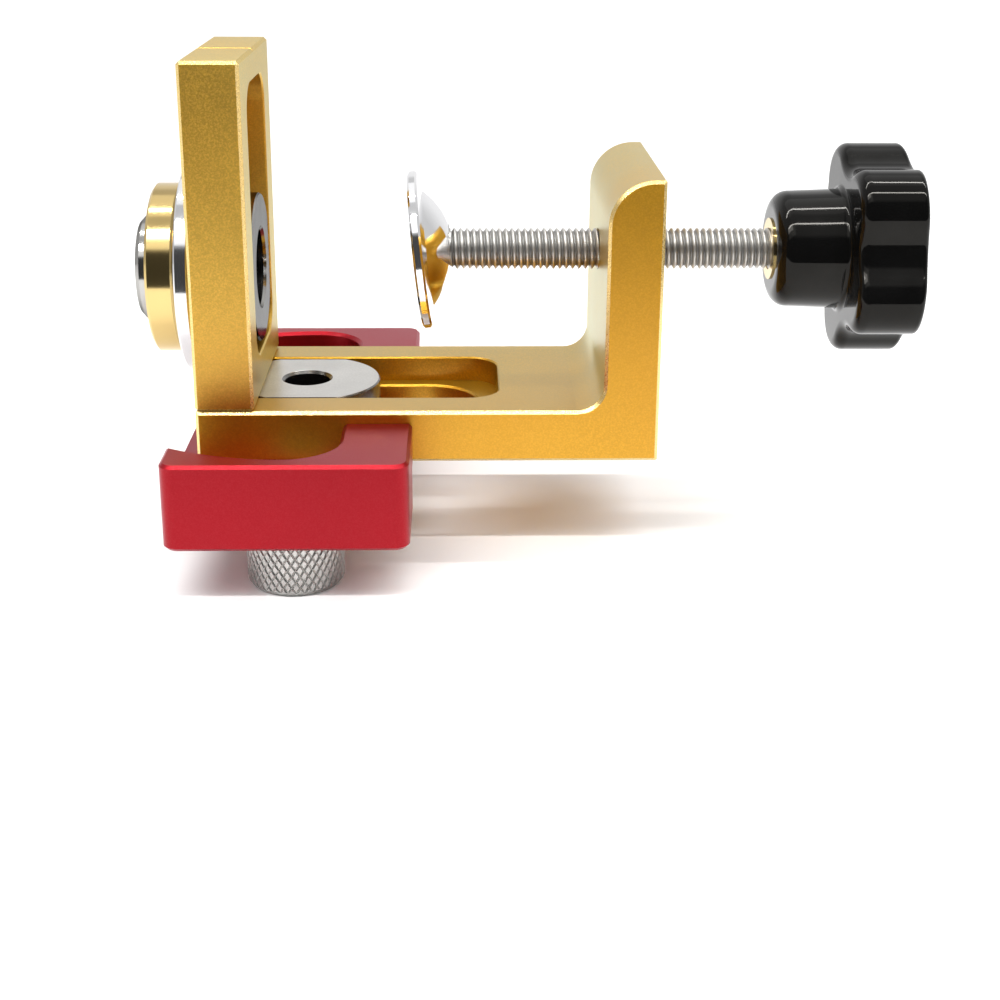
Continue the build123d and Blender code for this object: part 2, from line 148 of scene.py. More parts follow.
class JigFinishSettings(bpy.types.PropertyGroup):
    """Colours of the finishes."""

    gold: bpy.props.FloatVectorProperty(
        name="Gold", description="Gold anodised aluminium", default=(0.64, 0.335, 0.015),
        subtype="COLOR")
    gold_deep: bpy.props.FloatVectorProperty(
        name="Deep gold", description="Where the gold dye took more strongly",
        default=(0.6, 0.27, 0.012), subtype="COLOR")
    # A lighter gold: painted light for the stronger light that falls on the fence from the left.
    gold_fence: bpy.props.FloatVectorProperty(
        name="Fence gold", description="The fence plate, dyed a little paler",
        default=(0.79, 0.475, 0.07), subtype="COLOR")
    # Painted highlight: a brighter gold on the chamfers of the gold parts.
    gold_bright: bpy.props.FloatVectorProperty(
        name="Bright gold", description="Cut chamfers on the gold parts", default=(0.8, 0.58, 0.22),
        subtype="COLOR")
    red: bpy.props.FloatVectorProperty(
        name="Red", description="Red anodised aluminium", default=(0.34, 0.006, 0.013),
        subtype="COLOR")
    red_deep: bpy.props.FloatVectorProperty(
        name="Deep red", description="Where the red dye took more strongly",
        default=(0.26, 0.004, 0.01), subtype="COLOR")
    marks: bpy.props.FloatVectorProperty(
        name="Marks", description="Ticks and numbers of the arm's scale", default=(0.8, 0.74, 0.58),
        subtype="COLOR")
    steel: bpy.props.FloatVectorProperty(
        name="Steel", description="Turned steel", default=(0.5, 0.49, 0.47), subtype="COLOR")
    brass: bpy.props.FloatVectorProperty(
        name="Brass", description="Polished brass", default=(0.62, 0.46, 0.19), subtype="COLOR")
    chrome: bpy.props.FloatVectorProperty(
        name="Chrome", description="Polished plating", default=(0.82, 0.82, 0.83), subtype="COLOR")
    black: bpy.props.FloatVectorProperty(
        name="Black", description="Gloss black plastic", default=(0.003, 0.003, 0.003),
        subtype="COLOR")


class JigScaleSettings(bpy.types.PropertyGroup):
    """The scale on the arm's underside, read at the carrier's front edge."""

    first: bpy.props.IntProperty(name="First", description="Lowest number", default=20)
    last: bpy.props.IntProperty(name="Last", description="Highest number", default=60)
    rest_board: bpy.props.IntProperty(
        name="Board at rest", description="Board that the jig is set for, in millimetres",
        default=16)
    carrier_edge: bpy.props.FloatProperty(
        name="Carrier edge", description="Where the carrier's front edge stands at rest",
        default=21.5 * MM, subtype="DISTANCE", unit="LENGTH")
    inset: bpy.props.FloatProperty(
        name="Inset", description="From the arm's side to the ticks", default=0.6 * MM,
        subtype="DISTANCE", unit="LENGTH")
    tick: bpy.props.FloatProperty(
        name="Tick", description="Length of a tick", default=1.1 * MM,
        subtype="DISTANCE", unit="LENGTH")
    line: bpy.props.FloatProperty(
        name="Line", description="Width of a tick", default=0.16 * MM,
        subtype="DISTANCE", unit="LENGTH")
    number_inset: bpy.props.FloatProperty(
        name="Number inset", description="From the arm's side to the numbers' middle",
        default=4.6 * MM, subtype="DISTANCE", unit="LENGTH")
    number_size: bpy.props.FloatProperty(
        name="Number size", description="Size of the numbers' type", default=2.6 * MM,
        subtype="DISTANCE", unit="LENGTH")
    proud: bpy.props.FloatProperty(
        name="Proud", description="Thickness of the marks' paint", default=0.004 * MM,
        subtype="DISTANCE", unit="LENGTH")


class JigThreadSettings(bpy.types.PropertyGroup):
    """The clamp screw's thread."""

    pitch: bpy.props.FloatProperty(
        name="Pitch", description="Advance in one turn", default=1.25 * MM, min=0.1 * MM,
        subtype="DISTANCE", unit="LENGTH")
    crest: bpy.props.FloatProperty(
        name="Crest radius", description="Radius at the thread's crest", default=4.0 * MM,
        subtype="DISTANCE", unit="LENGTH")
    depth: bpy.props.FloatProperty(
        name="Depth", description="Depth of the thread", default=0.66 * MM,
        subtype="DISTANCE", unit="LENGTH")
    start: bpy.props.FloatProperty(
        name="Start", description="Where the thread begins along X", default=28.8 * MM,
        subtype="DISTANCE", unit="LENGTH")
    end: bpy.props.FloatProperty(
        name="End", description="Where the thread ends along X", default=108.3 * MM,
        subtype="DISTANCE", unit="LENGTH")
    steps: bpy.props.IntProperty(
        name="Steps", description="Segments in one turn", default=40, min=12)


class JigKnurlSettings(bpy.types.PropertyGroup):
    """The diamond knurl on the side bushes."""

    columns: bpy.props.IntProperty(
        name="Columns", description="Diamonds round the grip", default=37, min=8)
    rows: bpy.props.IntProperty(
        name="Rows", description="Diamonds along the grip", default=4, min=1)
    groove: bpy.props.FloatProperty(
        name="Groove", description="Half the width of a groove", default=0.24 * MM,
        subtype="DISTANCE", unit="LENGTH")
    relief: bpy.props.FloatProperty(
        name="Relief", description="Height of the diamonds", default=0.22 * MM,
        subtype="DISTANCE", unit="LENGTH")


# --- finishes ------------------------------------------------------------------------------

class Value:
    """A socket in a node tree. Python's operators on it add Math nodes."""

    def __init__(self, graph, socket):
        self.graph = graph
        self.socket = socket

    def __add__(self, other):
        return self.graph.math("ADD", self, other)

    def __radd__(self, other):
        return self.graph.math("ADD", other, self)

    def __sub__(self, other):
        return self.graph.math("SUBTRACT", self, other)

    def __rsub__(self, other):
        return self.graph.math("SUBTRACT", other, self)

    def __mul__(self, other):
        return self.graph.math("MULTIPLY", self, other)

    def __rmul__(self, other):
        return self.graph.math("MULTIPLY", other, self)

    def __pow__(self, other):
        return self.graph.math("POWER", self, other)

    def __gt__(self, other):
        return self.graph.math("GREATER_THAN", self, other)

    def __lt__(self, other):
        return self.graph.math("LESS_THAN", self, other)

    def __abs__(self):
        return self.graph.math("ABSOLUTE", self)


class Graph:
    """A node tree on its way to being made, with one method that adds any node."""

    def __init__(self, tree):
        self.tree = tree
        self.tree.nodes.clear()

    def fill(self, node, sockets):
        """Sets or links the sockets of a node, by name or number."""
        for key, value in sockets.items():
            if isinstance(value, Value):
                self.tree.links.new(value.socket, node.inputs[key])
            elif node.inputs[key].type == "RGBA":
                node.inputs[key].default_value = (*value[:3], 1.0)
            else:
                node.inputs[key].default_value = value

    def node(self, kind, settings, sockets, output=0):
        """Adds a node of any type and gives back one of its outputs."""
        node = self.tree.nodes.new(kind)
        for key, value in settings.items():
            setattr(node, key, value)
        self.fill(node, sockets)
        return Value(self, node.outputs[output]) if output is not None else None

    def math(self, operation, *values):
        return self.node("ShaderNodeMath", {"operation": operation}, dict(enumerate(values)))

    def parts(self, vector):
        """The X, Y and Z of a vector."""
        split = self.node("ShaderNodeSeparateXYZ", {}, {0: vector})
        return [Value(self, output) for output in split.socket.node.outputs]

    def ramp(self, value, low, high):
        """Stretches a value so that low becomes 0 and high becomes 1."""
        return self.node(
            "ShaderNodeMapRange", {"clamp": True}, {0: value, 1: low, 2: high, 3: 0.0, 4: 1.0})

    def blend(self, factor, low, high):
        """A colour between two others."""
        return self.node(
            "ShaderNodeMix", {"data_type": "RGBA"}, {0: factor, 6: low, 7: high}, 2)


class Finish(Graph):
    """A material with one Principled shader."""

    def __init__(self, name, fixed):
        self.material = bpy.data.materials.new(name)
        self.material.use_nodes = True
        super().__init__(self.material.node_tree)
        self.shader = self.tree.nodes.new("ShaderNodeBsdfPrincipled")
        output = self.tree.nodes.new("ShaderNodeOutputMaterial")
        self.tree.links.new(self.shader.outputs[0], output.inputs[0])
        self.fill(self.shader, fixed)

    def coordinates(self):
        return self.node("ShaderNodeTexCoord", {}, {}, "Object")

    def noise(self, size, detail, stretch=(1.0, 1.0, 1.0), roughness=0.5):
        """A cloud pattern from 0 to 1 whose spots are about as wide as size."""
        place = self.node(
            "ShaderNodeMapping", {}, {"Vector": self.coordinates(), "Scale": stretch})
        return self.node(
            "ShaderNodeTexNoise", {},
            {"Vector": place, "Scale": 0.5 / size, "Detail": detail, "Roughness": roughness})

    def relief(self, height, depth, strength):
        """Feeds a height pattern to the surface's normal."""
        bump = self.node(
            "ShaderNodeBump", {}, {"Strength": strength, "Distance": depth, "Height": height})
        self.fill(self.shader, {"Normal": bump})

    def feed(self, **sockets):
        """Links patterns to the shader's sockets."""
        self.fill(self.shader, {key.replace("_", " "): value for key, value in sockets.items()})


def shade(colour, factor):
    """A colour made lighter or darker."""
    return tuple(min(1.0, part * factor) for part in colour)


def anodised(name, colour, deep, glancing, grain, sparkle, skin, half_width=None, bright=None):
    """Bead-blasted and dyed aluminium: a fine grain that glints, slow clouding and a clear skin.

    Where a half width is given, the chamfers along those two sides were cut after blasting and are
    smoother than the rest, and their brighter colour is a painted highlight.
    """
    finish = Finish(name, {
        "Metallic": 0.9, "IOR": 1.5, "Specular Tint": glancing, "Coat IOR": 1.5,
        "Coat Roughness": 0.3})
    pits = finish.noise(grain, 3.0, roughness=0.7)
    glints = finish.ramp(pits, 0.42, 0.68)
    clouds = finish.ramp(finish.noise(9 * MM, 3.0), 0.3, 0.7)
    drift = finish.ramp(finish.noise(30 * MM, 1.0), 0.35, 0.65)
    base = finish.blend(glints, shade(colour, 1.0 - sparkle), shade(colour, 1.0 + sparkle))
    tone = finish.blend(clouds * 0.22, base, shade(colour, 0.8))
    tone = finish.blend(drift * 0.5, tone, deep)
    rough = 0.38 + glints * 0.1 - clouds * 0.05
    if half_width:
        _, y, _ = finish.parts(finish.coordinates())
        side = abs(y)
        cut = (side > half_width - RIM + RIM_MARGIN) * (side < half_width - RIM_MARGIN)
        # Painted highlight: the chamfers are blended to a brighter gold.
        tone = finish.blend(cut, tone, bright)
        rough = rough - cut * 0.1
    finish.feed(Base_Color=tone, Roughness=rough, Coat_Weight=skin + glints * 0.15)
    finish.relief(pits, 0.05 * MM, 0.6)
    return finish.material


def from_axis(finish, along, place):
    """The distance from an axis through a place: (y, z) where it runs along X, (x, y) along Z.

    Along Z there is a second axis, mirrored to the other side, and the nearer one counts.
    """
    x, y, z = finish.parts(finish.coordinates())
    across, up = (y, z) if along == "X" else (x, abs(y))
    return ((across - place[0]) ** 2.0 + (up - place[1]) ** 2.0) ** 0.5


def turned_steel(name, colour, roughness, along, place, bore, glancing=1.0):
    """Turned metal: faint tool rings about an axis, slight stains, and painted shade in the bore.
    """
    finish = Finish(name, {"Metallic": 1.0, "Specular Tint": (glancing, glancing, glancing)})
    stretch = {"X": (6.0, 0.15, 0.15), "Z": (0.15, 0.15, 6.0)}[along]
    rings = finish.noise(0.6 * MM, 2.0, stretch)
    stains = finish.ramp(finish.noise(4 * MM, 4.0), 0.35, 0.7)
    # Painted shade: the bore is blended to a dark colour.
    inside = from_axis(finish, along, place) < bore + MARGIN
    tone = finish.blend(stains * 0.3, colour, shade(colour, 0.72))
    finish.feed(Base_Color=finish.blend(inside, tone, shade(colour, 0.16)),
                Roughness=roughness + rings * 0.12 + stains * 0.06 + inside * 0.1)
    finish.relief(rings, 0.02 * MM, 0.35)
    return finish.material


def ground_steel(name, colour, face, bore):
    """The edge bush: ground, with a fine grain, a polished flange wall painted dark as painted
    shade in the slot, and painted shade in the bore.
    """
    finish = Finish(name, {"Metallic": 0.9})
    _, _, z = finish.parts(finish.coordinates())
    grain = finish.noise(0.22 * MM, 3.0, roughness=0.7)
    stains = finish.ramp(finish.noise(5 * MM, 4.0), 0.35, 0.7)
    # Painted shade: the polished flange wall, which stands in the slot, is painted dark.
    wall = (z < face - MARGIN) * (z > MARGIN)
    # Painted shade in the bore.
    inside = from_axis(finish, "Z", (0.0, 0.0)) < bore + MARGIN
    tone = finish.blend(finish.ramp(grain, 0.35, 0.65), shade(colour, 0.9), shade(colour, 1.1))
    tone = finish.blend(stains * 0.5, tone, shade(colour, 0.72))
    tone = finish.blend(wall, tone, shade(colour, 0.3))
    finish.feed(Base_Color=finish.blend(inside, tone, shade(colour, 0.1)),
                Roughness=0.28 - wall * 0.08 + grain * 0.1)
    finish.relief(grain, 0.03 * MM, 0.25)
    return finish.material


def blackened(name, colour):
    """Blackened steel with a fine grain."""
    finish = Finish(name, {"Metallic": 0.85})
    grain = finish.noise(0.22 * MM, 3.0, roughness=0.7)
    finish.feed(Base_Color=finish.blend(grain, shade(colour, 0.7), shade(colour, 1.3)),
                Roughness=0.36 + grain * 0.12)
    finish.relief(grain, 0.03 * MM, 0.4)
    return finish.material


def thread_steel(name, colour, crest, depth):
    """The clamp screw: a painted highlight on the crests and painted shade in the roots, by the
    distance from its axis.
    """
    finish = Finish(name, {"Metallic": 1.0})
    radius = from_axis(finish, "X", (0.0, CLAMP_AXIS))
    crests = finish.ramp(radius, crest - depth, crest - 0.25 * depth)
    grime = finish.ramp(finish.noise(2.5 * MM, 4.0), 0.4, 0.75)
    # Painted highlight on the crests and painted shade in the roots.
    tone = finish.blend(crests, shade(colour, 0.5), shade(colour, 1.2))
    finish.feed(Base_Color=finish.blend(grime * 0.3, tone, shade(colour, 0.6)),
                Roughness=0.5 - crests * 0.1 + grime * 0.08)
    return finish.material


def polished(name, colour, roughness):
    """Polished or plated metal with faint smears and slight waves."""
    finish = Finish(name, {"Metallic": 1.0})
    smears = finish.ramp(finish.noise(5 * MM, 4.0, (1.0, 1.0, 0.4)), 0.35, 0.75)
    waves = finish.noise(3.5 * MM, 1.0)
    finish.feed(Base_Color=finish.blend(smears * 0.25, colour, shade(colour, 0.85)),
                Roughness=roughness + smears * 0.06)
    finish.relief(waves, 0.05 * MM, 0.25)
    return finish.material


def gloss_plastic(name, colour):
    """Moulded plastic: deep gloss, with faint handling marks and a hint of orange peel."""
    # The warm specular tint is a painted reflection of the brownish surroundings.
    finish = Finish(name, {"IOR": 1.42, "Specular IOR Level": 0.2, "Coat Roughness": 0.03,
                           "Specular Tint": (1.0, 0.95, 0.86)})
    marks = finish.ramp(finish.noise(6 * MM, 5.0), 0.45, 0.8)
    peel = finish.noise(1.6 * MM, 1.0)
    finish.feed(Base_Color=finish.blend(marks * 0.5, colour, shade(colour, 2.2)),
                Roughness=0.06 + marks * 0.08, Coat_Weight=0.05 + marks * 0.1)
    finish.relief(peel, 0.03 * MM, 0.2)
    return finish.material


# --- modelling tools -----------------------------------------------------------------------

def clear_selection():
    """Ends any edit and deselects every object."""
    if bpy.context.object and bpy.context.object.mode != "OBJECT":
        bpy.ops.object.mode_set(mode="OBJECT")
    bpy.ops.object.select_all(action="DESELECT")


def alone(piece):
    """Makes a piece the only selected object."""
    clear_selection()
    piece.select_set(True)
    bpy.context.view_layer.objects.active = piece


def pick(piece, kind, test):
    """Enters edit mode with the vertices, edges or faces selected that pass a test."""
    alone(piece)
    mesh = piece.data
    bpy.context.tool_settings.mesh_select_mode = (kind == "VERT", kind == "EDGE", kind == "FACE")
    chosen = {"VERT": mesh.vertices, "EDGE": mesh.edges, "FACE": mesh.polygons}
    for group in chosen.values():
        group.foreach_set("select", [False] * len(group))
    for element in chosen[kind]:
        element.select = test(element)
    bpy.ops.object.mode_set(mode="EDIT")


def leave():
    """Goes back to object mode."""
    bpy.ops.object.mode_set(mode="OBJECT")


def modify(piece, kind, **settings):
    """Adds a modifier and applies it."""
    alone(piece)
    modifier = piece.modifiers.new(kind.title(), kind)
    for key, value in settings.items():
        setattr(modifier, key, value)
    bpy.ops.object.modifier_apply(modifier=modifier.name)


def settle(piece, name, body, material, replaced=()):
    """Puts a finished piece's place in its mesh, names it and sets it on its body."""
    alone(piece)
    bpy.ops.object.transform_apply(location=True, rotation=True, scale=True)
    piece.name = name
    piece.data.name = name
    piece.data.materials.clear()
    piece.data.materials.append(material)
    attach(piece, body)
    if replaced:
        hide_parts(*replaced)
    return piece


def outline(points):
    """A chain of edges through (x, z) points, drawn by extruding one vertex."""
    clear_selection()
    bpy.ops.mesh.primitive_plane_add(size=MM)
    piece = bpy.context.object
    bpy.context.tool_settings.mesh_select_mode = (True, False, False)
    bpy.ops.object.mode_set(mode="EDIT")
    bpy.ops.mesh.select_all(action="SELECT")
    bpy.ops.mesh.merge(type="CENTER")
    bpy.ops.transform.translate(value=(points[0][0], 0.0, points[0][1]))
    for (x0, z0), (x1, z1) in zip(points, points[1:]):
        bpy.ops.mesh.extrude_region_move(
            TRANSFORM_OT_translate={"value": (x1 - x0, 0.0, z1 - z0)})
    leave()
    return piece


def outward(piece):
    """Merges doubles and turns every face outwards."""
    alone(piece)
    bpy.ops.object.mode_set(mode="EDIT")
    bpy.ops.mesh.select_all(action="SELECT")
    bpy.ops.mesh.remove_doubles(threshold=2 * WELD)
    bpy.ops.mesh.normals_make_consistent(inside=False)
    leave()


def join(*pieces):
    """Makes several objects one."""
    clear_selection()
    for piece in pieces:
        piece.select_set(True)
    bpy.context.view_layer.objects.active = pieces[0]
    bpy.ops.object.join()
    return pieces[0]


def smooth(piece, degrees):
    """Smooth shading with edges kept sharp past an angle."""
    alone(piece)
    bpy.ops.object.shade_smooth_by_angle(angle=math.radians(degrees))


def coat(material, *nodes):
    """Gives CAD nodes a finish."""
    for node in nodes:
        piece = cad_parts[node]
        piece.data.materials.clear()
        piece.data.materials.append(material)


# --- operators -----------------------------------------------------------------------------

class JIG_OT_anodised_parts(bpy.types.Operator):
    """Finish the gold bracket and fence, the red carrier and the dark screws"""

    bl_idname = "jig.anodised_parts"
    bl_label = "Anodised Parts"

    def execute(self, context):
        colours = context.scene.jig_finish
        half_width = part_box("bracket")[1].y
        # The fence's gold is lighter, painted light for the stronger light on the left, and its
        # lower glancing tint is a painted shade in what it mirrors at a slant.
        for node, gold, glancing in (("bracket", colours.gold, (0.65, 1.0, 1.0)),
                                     ("fence_plate", colours.gold_fence, (0.45, 0.62, 0.45))):
            coat(anodised(node + "_gold", gold, colours.gold_deep, glancing, 0.17 * MM, 0.17, 0.45,
                          half_width, colours.gold_bright), node)
        coat(anodised("red_anodised", colours.red, colours.red_deep, (1.0, 0.95, 1.0), 0.12 * MM,
                      0.08, 0.1), "carrier")
        coat(blackened("dark_screws", shade(colours.steel, 0.3)), "fence_screws")
        return {"FINISHED"}


class JIG_OT_arm_scale(bpy.types.Operator):
    """Mark the board's thickness along both edges of the arm's underside"""

    bl_idname = "jig.arm_scale"
    bl_label = "Arm Scale"

    def execute(self, context):
        scale = context.scene.jig_scale
        finish = Finish("scale_marks", {"Metallic": 0.3})
        wear = finish.ramp(finish.noise(0.4 * MM, 3.0), 0.35, 0.7)
        colour = context.scene.jig_finish.marks
        finish.feed(Base_Color=finish.blend(wear * 0.6, colour, shade(colour, 0.6)),
                    Roughness=0.5 + wear * 0.2)
        half_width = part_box("bracket")[1].y
        pieces = []
        for side in (-1, 1):
            pieces.append(self.ticks(scale, side * (half_width - scale.inset - scale.tick / 2)))
            for number in range(scale.first, scale.last + 1, 10):
                y = side * (half_width - scale.number_inset)
                pieces.append(self.number(scale, number, self.place(scale, number), y))
        settle(join(*pieces), "arm_scale", "bracket", finish.material)
        return {"FINISHED"}

    def place(self, scale, board):
        """A board's place along the arm: the carrier moves by half of the board's thickness."""
        return scale.carrier_edge + (board - scale.rest_board) * MM / 2

    def ticks(self, scale, y):
        """A row of ticks, 1 mm apart, one for every 2 mm of the board."""
        start = self.place(scale, scale.first)
        clear_selection()
        bpy.ops.mesh.primitive_cube_add(size=1.0, location=(start, y, ARM_BOTTOM))
        piece = bpy.context.object
        bpy.ops.transform.resize(value=(scale.line, scale.tick, 2 * scale.proud),
                                 center_override=(start, y, ARM_BOTTOM))
        bpy.ops.object.transform_apply(location=True, rotation=True, scale=True)
        modify(piece, "ARRAY", count=(scale.last - scale.first) // 2 + 1, use_relative_offset=False,
               use_constant_offset=True, constant_offset_displace=(MM, 0.0, 0.0))
        return piece

    def number(self, scale, number, x, y):
        """A number read from below, its top towards the knob."""
        clear_selection()
        bpy.ops.object.text_add(location=(x, y, ARM_BOTTOM), rotation=(math.pi, 0.0, math.pi / 2))
        piece = bpy.context.object
        piece.data.body = str(number)
        piece.data.size = scale.number_size
        piece.data.align_x = "CENTER"
        piece.data.align_y = "CENTER"
        piece.data.resolution_u = 3
        piece.data.extrude = scale.proud
        bpy.ops.object.convert(target="MESH")
        return bpy.context.object


class JIG_OT_guide_bushes(bpy.types.Operator):
    """Finish the edge bush, the face bush, the washer and the thrust ring"""

    bl_idname = "jig.guide_bushes"
    bl_label = "Guide Bushes"

    def execute(self, context):
        colours = context.scene.jig_finish
        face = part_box("edge_bush")[1].z
        coat(ground_steel("edge_bush_steel", shade(colours.steel, 1.25), face, EDGE_BORE / 2),
             "edge_bush")
        low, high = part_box("face_bush")
        coat(turned_steel("face_bush_steel", shade(colours.steel, 0.85), 0.06, "X",
                          (0.0, (low.z + high.z) / 2), FACE_BORE / 2, 0.25), "face_bush")
        coat(polished("washer_chrome", shade(colours.chrome, 0.85), 0.08), "face_washer")
        coat(turned_steel("thrust_ring_steel", colours.steel, 0.2, "X", (0.0, CLAMP_AXIS), 0.0),
             "thrust_ring")
        return {"FINISHED"}


class JIG_OT_ring_nuts(bpy.types.Operator):
    """Finish both ring nuts and the knob's insert in polished brass"""

    bl_idname = "jig.ring_nuts"
    bl_label = "Ring Nuts"

    def execute(self, context):
        brass = polished("brass", context.scene.jig_finish.brass, 0.12)
        coat(brass, "edge_ring_nut", "face_ring_nut", "knob_insert")
        return {"FINISHED"}


class JIG_OT_side_bushes(bpy.types.Operator):
    """Model the side bushes with their diamond knurl"""

    bl_idname = "jig.side_bushes"
    bl_label = "Side Bushes"

    def execute(self, context):
        knurl = context.scene.jig_knurl
        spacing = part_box("side_bush_back")[0].y + GRIP_RADIUS
        steel = turned_steel("side_bush_steel", context.scene.jig_finish.steel, 0.26, "Z",
                             (0.0, spacing), EDGE_BORE / 2)
        for node in ("side_bush_front", "side_bush_back"):
            low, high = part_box(node)
            middle = (low + high) / 2
            grip = self.grip(knurl, low.z, CARRIER_BOTTOM)
            sleeve = self.sleeve(low.z, high.z)
            piece = join(grip, sleeve)
            piece.location = (middle.x, middle.y, 0.0)
            smooth(piece, 25)
            settle(piece, node + "_knurled", "carriage", steel, (node,))
        return {"FINISHED"}

    def grip(self, knurl, low, high):
        """A knurled sleeve: a grid turned into diamonds that stand proud."""
        radius = GRIP_RADIUS - knurl.relief
        chamfer = 0.8 * MM
        bottom, top = low + chamfer, high - chamfer
        height = top - bottom
        clear_selection()
        bpy.ops.mesh.primitive_cylinder_add(
            vertices=knurl.columns, radius=radius, depth=height, end_fill_type="NOTHING",
            location=(0.0, 0.0, (low + high) / 2))
        piece = bpy.context.object
        bpy.ops.object.transform_apply(location=True, rotation=True, scale=True)
        pick(piece, "EDGE", lambda e: self.rise(piece.data, e) > height / 2)
        bpy.ops.mesh.subdivide(number_cuts=knurl.rows - 1)
        leave()
        corners = len(piece.data.vertices)
        bpy.ops.object.mode_set(mode="EDIT")
        bpy.ops.mesh.select_all(action="SELECT")
        bpy.ops.mesh.poke()
        leave()
        # The poked centres move out to the cylinder that the corners lie on.
        pick(piece, "VERT", lambda v: v.index >= corners)
        grow = 1.0 / math.cos(math.pi / knurl.columns)
        bpy.ops.transform.resize(value=(grow, grow, 1.0), center_override=(0.0, 0.0, 0.0))
        leave()
        pick(piece, "EDGE", lambda e: self.is_lattice(piece.data, e, corners, bottom, top))
        bpy.ops.mesh.dissolve_edges(use_verts=False)
        leave()
        pick(piece, "FACE", lambda f: True)
        bpy.ops.mesh.inset(thickness=knurl.groove, depth=knurl.relief, use_individual=True,
                           use_boundary=True, use_even_offset=True)
        leave()
        narrow = (GRIP_RADIUS - chamfer) / radius
        inside = radius + knurl.relief / 2
        for level, end in ((bottom, low), (top, high)):
            pick(piece, "EDGE", lambda e: self.is_rim(piece.data, e, level, inside))
            bpy.ops.mesh.extrude_region_move(TRANSFORM_OT_translate={"value": (0, 0, end - level)})
            bpy.ops.transform.resize(value=(narrow, narrow, 1.0), center_override=(0, 0, end))
            leave()
        return piece

    def rise(self, mesh, edge):
        """The difference in height between an edge's ends."""
        first, second = (mesh.vertices[i].co.z for i in edge.vertices)
        return abs(first - second)

    def is_rim(self, mesh, edge, level, radius):
        """Whether an edge lies at one height and inside a radius."""
        ends = [mesh.vertices[i].co for i in edge.vertices]
        return all(abs(end.z - level) < NEAR and end.xy.length < radius for end in ends)

    def is_lattice(self, mesh, edge, corners, low, high):
        """Whether an edge is one of the first grid's, away from its two ends."""
        if any(i >= corners for i in edge.vertices):
            return False
        height = mesh.vertices[edge.vertices[0]].co.z
        at_end = min(abs(height - low), abs(height - high)) < NEAR
        return not (self.rise(mesh, edge) < NEAR and at_end)

    def sleeve(self, low, high):
        """The plain turned body inside the grip, with its bore and both end faces."""
        bore, head, shank = EDGE_BORE / 2, 8.2 * MM, 7.0 * MM
        mouth, brink = 0.6 * MM, 0.3 * MM    # chamfers at the bore's lower end and at the top
        piece = outline([
            (bore, low + mouth), (bore + mouth, low), (head, low), (head, CARRIER_BOTTOM),
            (shank, CARRIER_BOTTOM), (shank, high - brink), (shank - brink, high),
            (bore + brink, high), (bore, high - brink), (bore, low + mouth)])
        modify(piece, "SCREW", axis="Z", angle=math.tau, screw_offset=0.0, steps=96,
               render_steps=96, use_merge_vertices=True, merge_threshold=WELD)
        outward(piece)
        return piece


class JIG_OT_clamp_screw(bpy.types.Operator):
    """Model the clamp screw with its helical thread, neck and ball"""

    bl_idname = "jig.clamp_screw"
    bl_label = "Clamp Screw"

    def execute(self, context):
        thread = context.scene.jig_thread
        low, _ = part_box("clamp_screw")
        rod = self.thread(thread)
        neck = self.neck(low.x + BALL_RADIUS, thread.start)
        piece = join(rod, neck)
        piece.location = (0.0, 0.0, CLAMP_AXIS)
        smooth(piece, 32)
        colour = context.scene.jig_finish.steel
        steel = thread_steel("thread_steel", colour, thread.crest, thread.depth)
        settle(piece, "clamp_screw_threaded", "screw", steel, ("clamp_screw",))
        return {"FINISHED"}

    def thread(self, thread):
        """One pitch of the profile, wound up and cut square at both ends."""
        crest, root = thread.crest, thread.crest - thread.depth
        turns = math.ceil((thread.end - thread.start) / thread.pitch) + 2
        first = thread.start - thread.pitch
        shape = ((0.0, root), (0.14, root), (0.46, crest), (0.62, crest), (1.0, root))
        piece = outline([(first + part * thread.pitch, radius) for part, radius in shape])
        modify(piece, "SCREW", axis="X", angle=math.tau, screw_offset=thread.pitch,
               iterations=turns, steps=thread.steps, render_steps=thread.steps,
               use_merge_vertices=True, merge_threshold=WELD)
        for place, way in ((thread.start, -1.0), (thread.end, 1.0)):
            pick(piece, "FACE", lambda f: True)
            bpy.ops.mesh.bisect(plane_co=(place, 0, 0), plane_no=(way, 0, 0), use_fill=True,
                                clear_outer=True)
            leave()
        outward(piece)
        return piece

    def neck(self, ball, start):
        """The plain neck and the ball at its end."""
        radius, thin = BALL_RADIUS, 1.3 * MM
        meet = ball + math.sqrt(radius ** 2 - thin ** 2)
        turns = [math.radians(degrees) for degrees in range(0, 131, 10)]
        arc = [(ball - radius * math.cos(turn), radius * math.sin(turn)) for turn in turns]
        arc = [point for point in arc if point[0] < meet - MARGIN]
        piece = outline(arc + [(meet, thin), (start, thin)])
        modify(piece, "SCREW", axis="X", angle=math.tau, screw_offset=0.0, steps=32,
               render_steps=32, use_merge_vertices=True, merge_threshold=WELD)
        outward(piece)
        return piece


class JIG_OT_swivel_foot(bpy.types.Operator):
    """Finish the swivel foot"""

    bl_idname = "jig.swivel_foot"
    bl_label = "Swivel Foot"

    def execute(self, context):
        coat(polished("foot_chrome", context.scene.jig_finish.chrome, 0.07), "swivel_foot")
        return {"FINISHED"}


class JIG_OT_knob(bpy.types.Operator):
    """Finish the star knob and its cap"""

    bl_idname = "jig.knob"
    bl_label = "Knob"

    def execute(self, context):
        coat(gloss_plastic("black_gloss", context.scene.jig_finish.black), "knob", "knob_cap")
        return {"FINISHED"}


